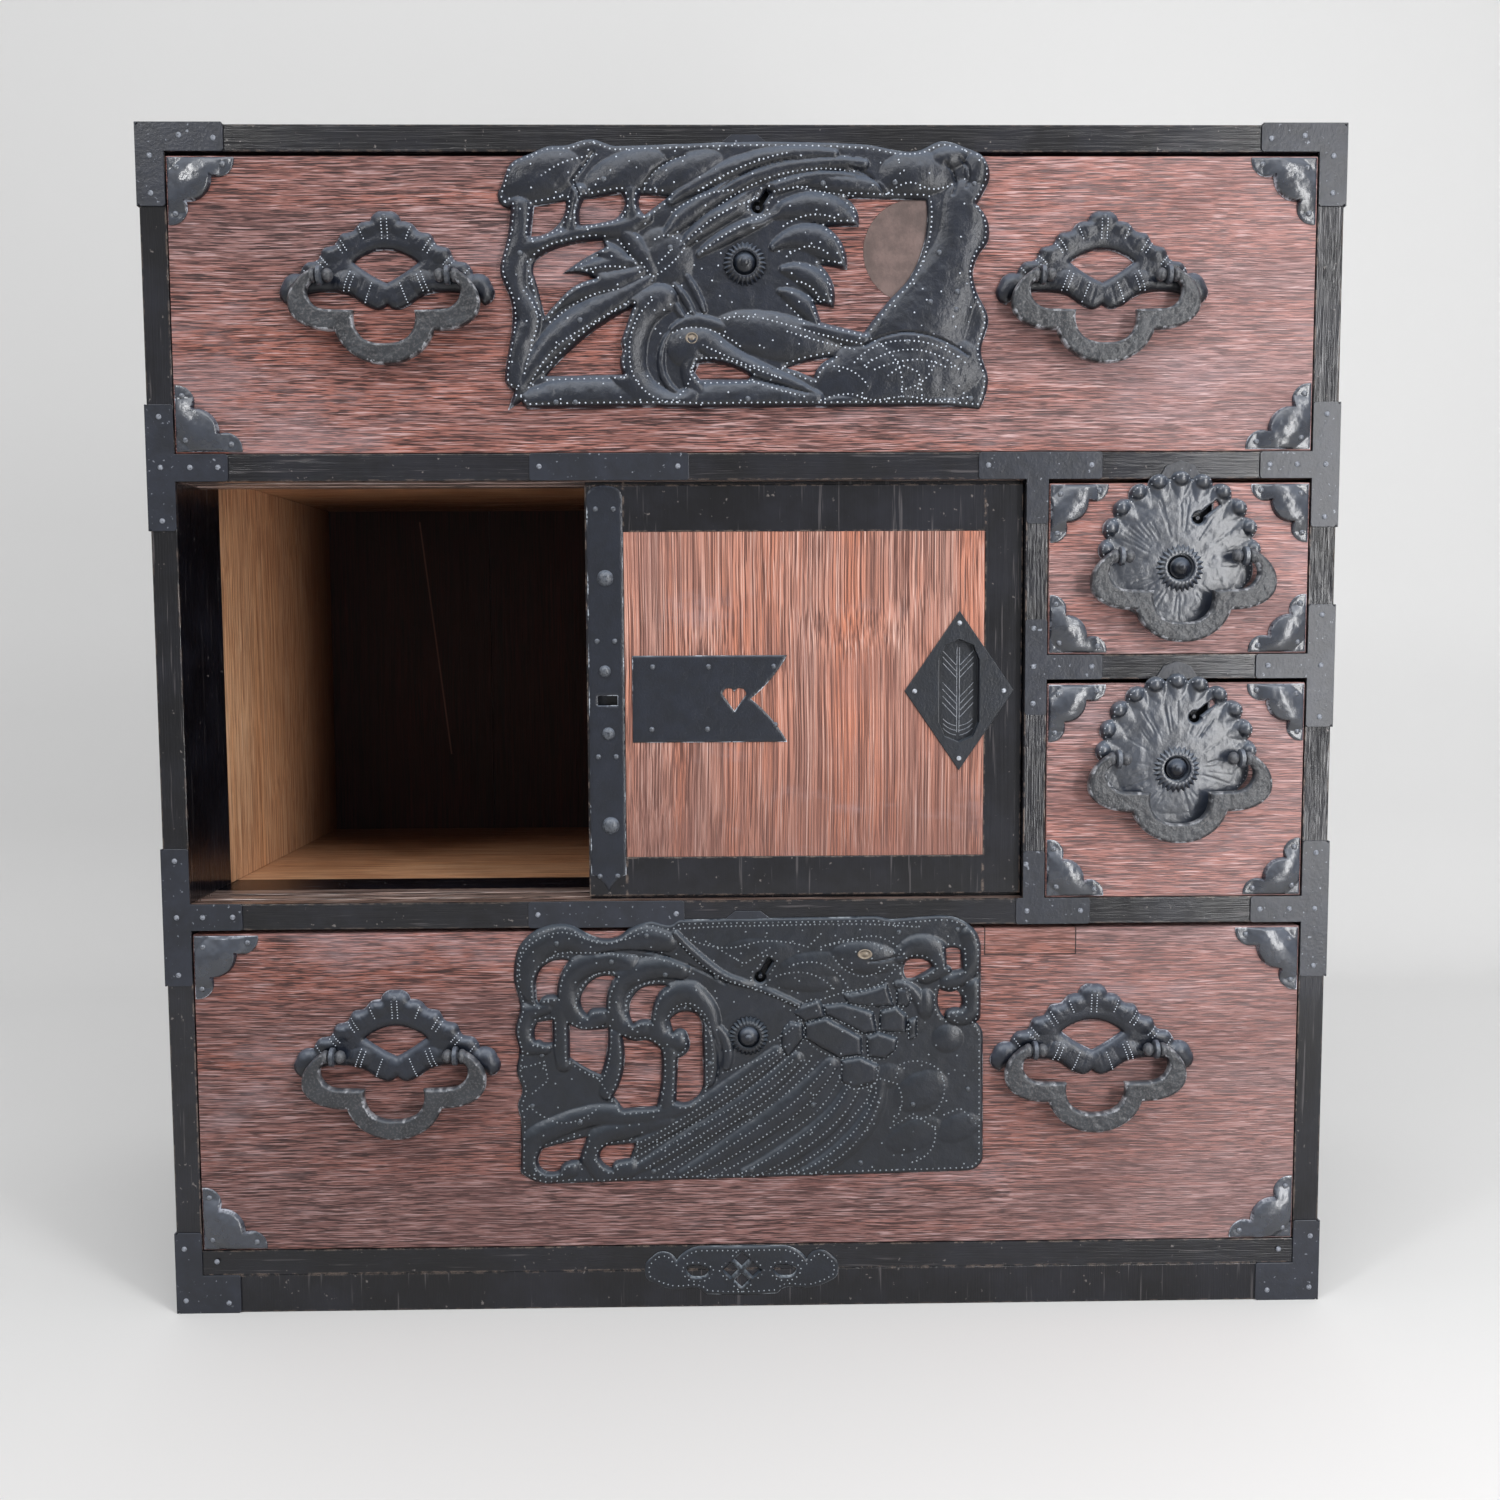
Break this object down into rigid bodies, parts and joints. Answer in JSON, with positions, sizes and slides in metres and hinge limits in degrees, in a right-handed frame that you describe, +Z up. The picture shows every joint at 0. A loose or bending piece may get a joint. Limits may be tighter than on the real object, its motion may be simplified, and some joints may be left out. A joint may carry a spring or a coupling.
{
  "type": "small tansu chest",
  "caption": "Free-standing wooden tansu chest with wide and small drawers, a cupboard with sliding doors, pierced iron lock plates, drop handles and nailed corner irons.",
  "frame": {"origin": "on the floor, in the middle of the footprint with the drop handles hanging", "axes": "+Z up, drawer and door fronts face -Y, +X to the right of someone facing them"},
  "size_m": [0.8624, 0.449, 0.8692],
  "materials": {
    "case_lacquer": "worn black lacquer",
    "front_wood": "reddish brown wiped lacquer",
    "panel_wood": "orange brown wiped lacquer",
    "inner_wood": "bare softwood",
    "iron": "blackened wrought iron",
    "lock_iron": "plain iron",
    "moon_bronze": "dull grey bronze"
  },
  "bodies": {
    "case": {"side_left": "case_lacquer", "side_right": "case_lacquer", "top_board": "case_lacquer", "bottom_board": "inner_wood", "back_boards": "inner_wood", "upper_rail": "case_lacquer", "upper_dust_board": "inner_wood", "lower_rail": "case_lacquer", "lower_dust_board": "inner_wood", "partition": "case_lacquer", "small_drawer_shelf": "case_lacquer", "plinth": "case_lacquer", "frame_irons": "iron", "base_plaque": "iron"},
    "top_drawer": {"top_drawer_front": "front_wood", "top_drawer_box": "inner_wood", "top_drawer_corner_irons": "iron", "top_drawer_lock_case": "lock_iron", "top_drawer_lock_plate": "iron", "top_drawer_handle_plates": "iron", "moon_inlay": "moon_bronze"},
    "top_drawer_lock_bolt": {"top_drawer_lock_bolt": "lock_iron"},
    "top_drawer_lock_button": {"top_drawer_lock_button": "iron"},
    "top_drawer_bail_left": {"top_drawer_bail_left": "iron"},
    "top_drawer_bail_right": {"top_drawer_bail_right": "iron"},
    "base_drawer": {"base_drawer_front": "front_wood", "base_drawer_box": "inner_wood", "base_drawer_corner_irons": "iron", "base_drawer_lock_case": "lock_iron", "base_drawer_lock_plate": "iron", "base_drawer_handle_plates": "iron"},
    "base_drawer_lock_bolt": {"base_drawer_lock_bolt": "lock_iron"},
    "base_drawer_lock_button": {"base_drawer_lock_button": "iron"},
    "base_drawer_bail_left": {"base_drawer_bail_left": "iron"},
    "base_drawer_bail_right": {"base_drawer_bail_right": "iron"},
    "upper_small_drawer": {"upper_small_drawer_front": "front_wood", "upper_small_drawer_box": "inner_wood", "upper_small_drawer_corner_irons": "iron", "upper_small_drawer_lock_case": "lock_iron", "upper_small_drawer_lock_plate": "iron"},
    "upper_small_drawer_lock_bolt": {"upper_small_drawer_lock_bolt": "lock_iron"},
    "upper_small_drawer_lock_button": {"upper_small_drawer_lock_button": "iron"},
    "upper_small_drawer_bail": {"upper_small_drawer_bail": "iron"},
    "lower_small_drawer": {"lower_small_drawer_front": "front_wood", "lower_small_drawer_box": "inner_wood", "lower_small_drawer_corner_irons": "iron", "lower_small_drawer_lock_case": "lock_iron", "lower_small_drawer_lock_plate": "iron"},
    "lower_small_drawer_lock_bolt": {"lower_small_drawer_lock_bolt": "lock_iron"},
    "lower_small_drawer_lock_button": {"lower_small_drawer_lock_button": "iron"},
    "lower_small_drawer_bail": {"lower_small_drawer_bail": "iron"},
    "front_door": {"front_door_frame": "case_lacquer", "front_door_panel": "panel_wood", "front_door_pull": "iron", "front_door_lock_band": "iron", "front_door_strap": "iron", "front_door_lock_case": "lock_iron"},
    "rear_door": {"rear_door_frame": "case_lacquer", "rear_door_panel": "panel_wood", "rear_door_pull": "iron"}
  },
  "joints": [
    {"name": "top_drawer_slide", "type": "slide", "parent": "case", "child": "top_drawer", "axis": [0, -1, 0], "range_m": [0, 0.32]},
    {"name": "top_drawer_bolt_throw", "type": "slide", "parent": "top_drawer", "child": "top_drawer_lock_bolt", "axis": [0, 0, 1], "range_m": [0, 0.008]},
    {"name": "top_drawer_button_press", "type": "slide", "parent": "top_drawer", "child": "top_drawer_lock_button", "axis": [0, 1, 0], "range_m": [0, 0.004], "stiffness_N_per_m": 150},
    {"name": "top_drawer_bail_left_swing", "type": "hinge", "parent": "top_drawer", "child": "top_drawer_bail_left", "pos_m": [-0.256, -0.21875, 0.7605], "axis": [-1, 0, 0], "range_deg": [-3, 170]},
    {"name": "top_drawer_bail_right_swing", "type": "hinge", "parent": "top_drawer", "child": "top_drawer_bail_right", "pos_m": [0.256, -0.21875, 0.7605], "axis": [-1, 0, 0], "range_deg": [-3, 170]},
    {"name": "base_drawer_slide", "type": "slide", "parent": "case", "child": "base_drawer", "axis": [0, -1, 0], "range_m": [0, 0.32]},
    {"name": "base_drawer_bolt_throw", "type": "slide", "parent": "base_drawer", "child": "base_drawer_lock_bolt", "axis": [0, 0, 1], "range_m": [0, 0.008]},
    {"name": "base_drawer_button_press", "type": "slide", "parent": "base_drawer", "child": "base_drawer_lock_button", "axis": [0, 1, 0], "range_m": [0, 0.004], "stiffness_N_per_m": 150},
    {"name": "base_drawer_bail_left_swing", "type": "hinge", "parent": "base_drawer", "child": "base_drawer_bail_left", "pos_m": [-0.262, -0.21875, 0.1985], "axis": [-1, 0, 0], "range_deg": [-3, 170]},
    {"name": "base_drawer_bail_right_swing", "type": "hinge", "parent": "base_drawer", "child": "base_drawer_bail_right", "pos_m": [0.256, -0.21875, 0.1985], "axis": [-1, 0, 0], "range_deg": [-3, 170]},
    {"name": "upper_small_drawer_slide", "type": "slide", "parent": "case", "child": "upper_small_drawer", "axis": [0, -1, 0], "range_m": [0, 0.32]},
    {"name": "upper_small_drawer_bolt_throw", "type": "slide", "parent": "upper_small_drawer", "child": "upper_small_drawer_lock_bolt", "axis": [0, 0, 1], "range_m": [0, 0.008]},
    {"name": "upper_small_drawer_button_press", "type": "slide", "parent": "upper_small_drawer", "child": "upper_small_drawer_lock_button", "axis": [0, 1, 0], "range_m": [0, 0.004], "stiffness_N_per_m": 150},
    {"name": "upper_small_drawer_bail_swing", "type": "hinge", "parent": "upper_small_drawer", "child": "upper_small_drawer_bail", "pos_m": [0.315, -0.21875, 0.5615], "axis": [-1, 0, 0], "range_deg": [-3, 170]},
    {"name": "lower_small_drawer_slide", "type": "slide", "parent": "case", "child": "lower_small_drawer", "axis": [0, -1, 0], "range_m": [0, 0.32]},
    {"name": "lower_small_drawer_bolt_throw", "type": "slide", "parent": "lower_small_drawer", "child": "lower_small_drawer_lock_bolt", "axis": [0, 0, 1], "range_m": [0, 0.008]},
    {"name": "lower_small_drawer_button_press", "type": "slide", "parent": "lower_small_drawer", "child": "lower_small_drawer_lock_button", "axis": [0, 1, 0], "range_m": [0, 0.004], "stiffness_N_per_m": 150},
    {"name": "lower_small_drawer_bail_swing", "type": "hinge", "parent": "lower_small_drawer", "child": "lower_small_drawer_bail", "pos_m": [0.315, -0.21875, 0.4145], "axis": [-1, 0, 0], "range_deg": [-3, 170]},
    {"name": "front_door_slide", "type": "slide", "parent": "case", "child": "front_door", "axis": [-1, 0, 0], "range_m": [0, 0.292]},
    {"name": "rear_door_slide", "type": "slide", "parent": "case", "child": "rear_door", "axis": [-1, 0, 0], "range_m": [0, 0.292]}
  ]
}
